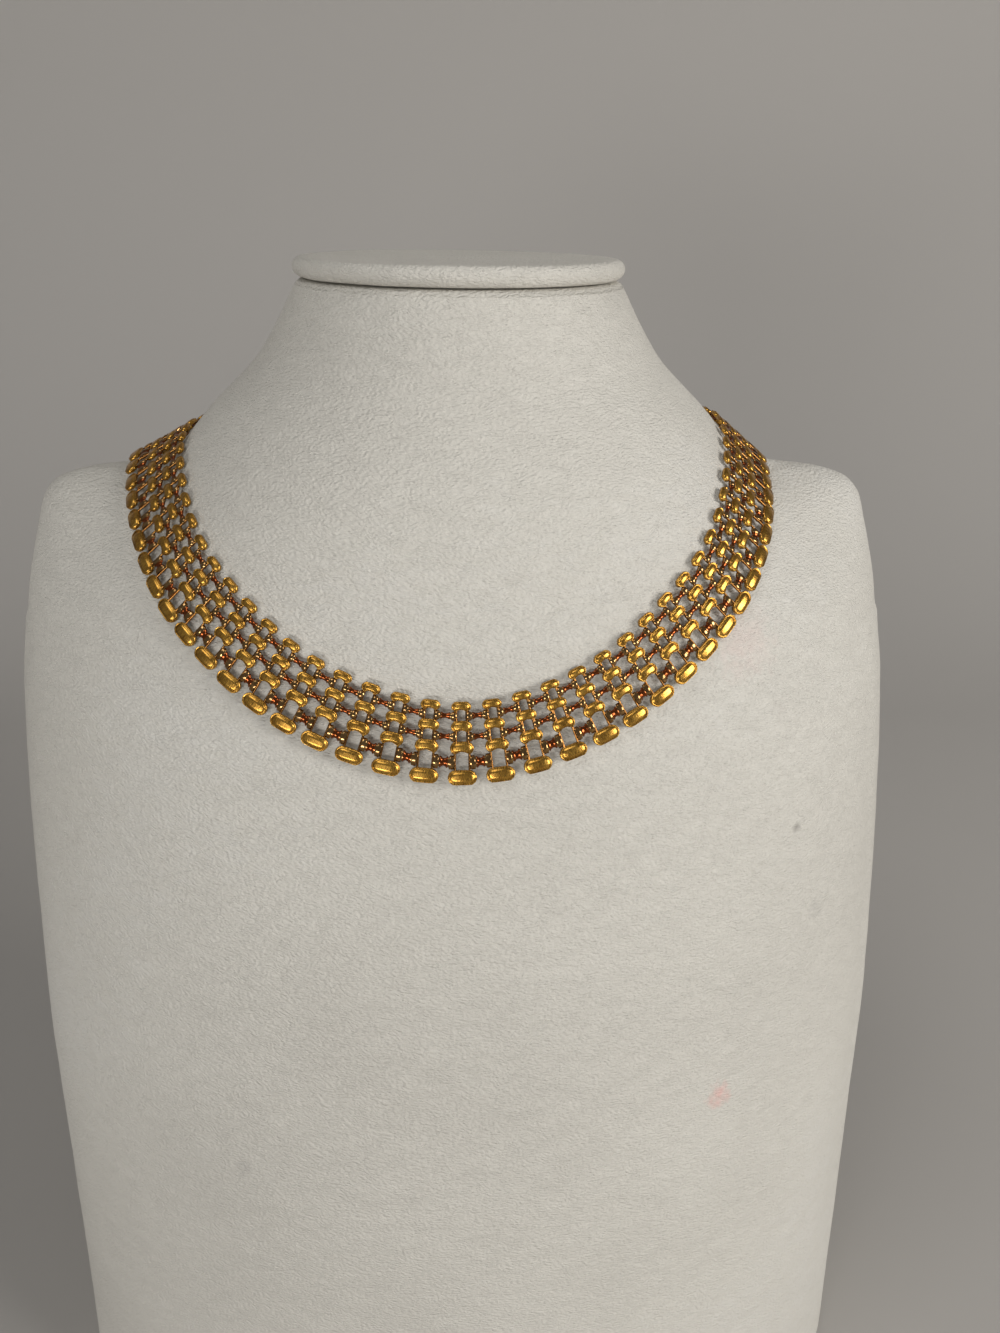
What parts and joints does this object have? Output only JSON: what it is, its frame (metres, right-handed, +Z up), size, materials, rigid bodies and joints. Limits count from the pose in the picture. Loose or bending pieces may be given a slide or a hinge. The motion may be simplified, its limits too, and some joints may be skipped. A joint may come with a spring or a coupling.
{
  "type": "collar necklace on a neck bust",
  "caption": "Flat collar necklace of graduated ladder links in a gold-tone metal, on a white covered neck bust with a disc cap.",
  "frame": {"origin": "middle of the bust's flat base, on the surface that it stands on", "axes": "+X to the viewer's right, the front faces -Y, +Z up from the base to the cap"},
  "size_m": [0.243, 0.1673, 0.3257],
  "materials": {
    "leatherette": "white leatherette with a fine wrinkled grain, satin",
    "gold_tone": "gold-tone plating, brushed plate faces with polished rims and polished connectors"
  },
  "bodies": {
    "root": {"bust_body": "leatherette", "bust_cap": "leatherette", "link_left_20": "gold_tone", "link_left_19": "gold_tone", "link_left_18": "gold_tone", "link_left_17": "gold_tone", "link_left_16": "gold_tone", "link_left_15": "gold_tone", "link_left_14": "gold_tone", "link_left_13": "gold_tone", "link_left_12": "gold_tone", "link_left_11": "gold_tone", "link_left_10": "gold_tone", "link_left_09": "gold_tone", "link_left_08": "gold_tone", "link_left_07": "gold_tone", "link_left_06": "gold_tone", "link_left_05": "gold_tone", "link_left_04": "gold_tone", "link_left_03": "gold_tone", "link_left_02": "gold_tone", "link_left_01": "gold_tone", "link_front": "gold_tone", "link_right_01": "gold_tone", "link_right_02": "gold_tone", "link_right_03": "gold_tone", "link_right_04": "gold_tone", "link_right_05": "gold_tone", "link_right_06": "gold_tone", "link_right_07": "gold_tone", "link_right_08": "gold_tone", "link_right_09": "gold_tone", "link_right_10": "gold_tone", "link_right_11": "gold_tone", "link_right_12": "gold_tone", "link_right_13": "gold_tone", "link_right_14": "gold_tone", "link_right_15": "gold_tone", "link_right_16": "gold_tone", "link_right_17": "gold_tone", "link_right_18": "gold_tone", "link_right_19": "gold_tone", "link_right_20": "gold_tone", "back_links_right_1": "gold_tone", "back_links_right_2": "gold_tone", "back_links_left_1": "gold_tone", "back_links_left_2": "gold_tone", "clasp": "gold_tone"}
  },
  "joints": []
}
